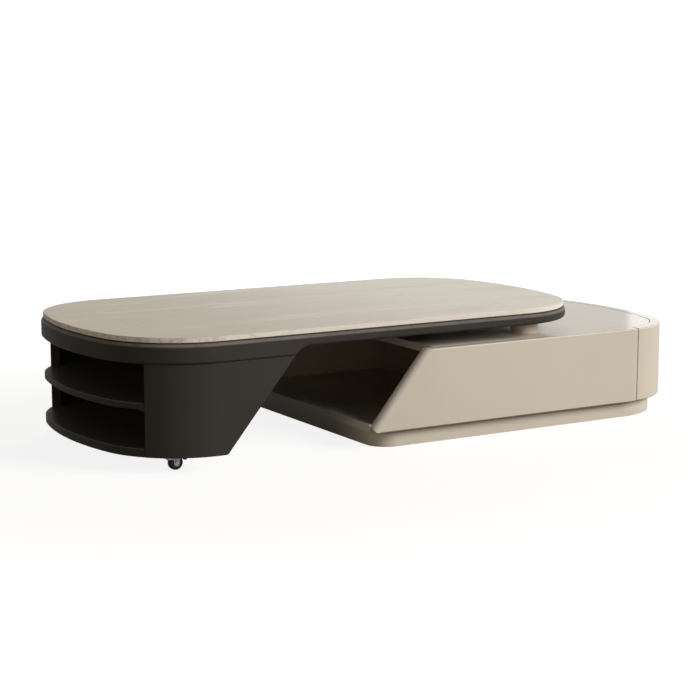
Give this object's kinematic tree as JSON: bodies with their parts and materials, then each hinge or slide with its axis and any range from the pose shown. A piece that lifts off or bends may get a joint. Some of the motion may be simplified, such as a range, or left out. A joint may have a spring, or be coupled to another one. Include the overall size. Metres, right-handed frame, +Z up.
{
  "type": "extendable coffee table",
  "caption": "Low coffee table whose stone-topped upper unit with a wheeled shelf cabinet slides over a lacquered base with an open niche and an end drawer.",
  "frame": {"origin": "middle of the extended table's box, on the floor", "axes": "+X along the length from the shelf cabinet to the drawer end, +Y to the rear, +Z up"},
  "size_m": [1.6199, 0.71, 0.308],
  "materials": {
    "stone": "honed pale beige sintered stone with faint linear veins",
    "dark_lacquer": "warm black satin lacquer",
    "core_board": "dark-faced board",
    "beige_lacquer": "satin beige lacquer",
    "drawer_board": "pale linen-grain melamine board",
    "aluminium": "anodised",
    "zinc_steel": "zinc plated",
    "hub_plastic": "grey moulded",
    "black_plastic": "moulded",
    "glide_plastic": "natural nylon",
    "black_rubber": "soft tread"
  },
  "bodies": {
    "base": {"plinth": "beige_lacquer", "plinth_bars": "core_board", "base_floor": "beige_lacquer", "niche_partition": "beige_lacquer", "partition_screws": "zinc_steel", "base_wall_front": "beige_lacquer", "base_wall_rear": "beige_lacquer", "base_top": "beige_lacquer", "top_cleats": "core_board", "support_block_front": "beige_lacquer", "guide_stud_front": "zinc_steel", "glide_pad_front": "glide_plastic", "guide_shoe_front": "glide_plastic", "drawer_slide_outer_front": "zinc_steel", "support_block_rear": "beige_lacquer", "guide_stud_rear": "zinc_steel", "glide_pad_rear": "glide_plastic", "guide_shoe_rear": "glide_plastic", "drawer_slide_outer_rear": "zinc_steel"},
    "table": {"stone_top": "stone", "rim_frame": "dark_lacquer", "top_board": "core_board", "cabinet_ceiling": "dark_lacquer", "cabinet_side_front": "dark_lacquer", "cabinet_side_rear": "dark_lacquer", "shelf_pins": "zinc_steel", "end_panel": "dark_lacquer", "middle_shelf": "dark_lacquer", "cabinet_bottom": "dark_lacquer", "caster_screws": "zinc_steel", "channel_stops": "black_rubber", "channel_screws": "zinc_steel", "guide_channel_front": "aluminium", "caster_plate_front": "zinc_steel", "king_pin_front": "zinc_steel", "guide_channel_rear": "aluminium", "caster_plate_rear": "zinc_steel", "king_pin_rear": "zinc_steel"},
    "drawer": {"drawer_front": "beige_lacquer", "drawer_side_front": "drawer_board", "drawer_side_rear": "drawer_board", "drawer_back": "drawer_board", "drawer_bottom": "drawer_board", "drawer_slide_inner_front": "zinc_steel", "drawer_slide_inner_rear": "zinc_steel"},
    "drawer_slides": {"drawer_slide_middle_front": "zinc_steel", "drawer_slide_middle_rear": "zinc_steel"},
    "caster_front": {"caster_fork_front": "zinc_steel", "wheel_axle_front": "zinc_steel", "brake_pin_front": "zinc_steel"},
    "wheel_front": {"wheel_hub_front": "hub_plastic", "wheel_tyre_front": "black_rubber"},
    "pedal_front": {"brake_pedal_front": "black_plastic"},
    "caster_rear": {"caster_fork_rear": "zinc_steel", "wheel_axle_rear": "zinc_steel", "brake_pin_rear": "zinc_steel"},
    "wheel_rear": {"wheel_hub_rear": "hub_plastic", "wheel_tyre_rear": "black_rubber"},
    "pedal_rear": {"brake_pedal_rear": "black_plastic"}
  },
  "joints": [
    {"name": "table_slide", "type": "slide", "parent": "base", "child": "table", "axis": [1, 0, 0], "range_m": [0, 0.365]},
    {"name": "drawer_slide", "type": "slide", "parent": "base", "child": "drawer", "axis": [1, 0, 0], "range_m": [0, 0.3]},
    {"name": "drawer_slide_half", "type": "slide", "parent": "base", "child": "drawer_slides", "axis": [1, 0, 0], "range_m": [0, 0.15]},
    {"name": "caster_swivel_front", "type": "hinge", "parent": "table", "child": "caster_front", "pos_m": [-0.669, -0.272, 0.039], "axis": [0, 0, 1], "continuous": true},
    {"name": "wheel_spin_front", "type": "hinge", "parent": "caster_front", "child": "wheel_front", "pos_m": [-0.655, -0.272, 0.017], "axis": [0, 1, 0], "continuous": true},
    {"name": "brake_front", "type": "hinge", "parent": "caster_front", "child": "pedal_front", "pos_m": [-0.636, -0.272, 0.03], "axis": [0, 1, 0], "range_deg": [0, 15]},
    {"name": "caster_swivel_rear", "type": "hinge", "parent": "table", "child": "caster_rear", "pos_m": [-0.669, 0.272, 0.039], "axis": [0, 0, 1], "continuous": true},
    {"name": "wheel_spin_rear", "type": "hinge", "parent": "caster_rear", "child": "wheel_rear", "pos_m": [-0.655, 0.272, 0.017], "axis": [0, 1, 0], "continuous": true},
    {"name": "brake_rear", "type": "hinge", "parent": "caster_rear", "child": "pedal_rear", "pos_m": [-0.636, 0.272, 0.03], "axis": [0, 1, 0], "range_deg": [0, 15]}
  ],
  "couplings": [
    {"joint": "drawer_slide_half", "follows": "drawer_slide", "ratio": 0.5}
  ]
}
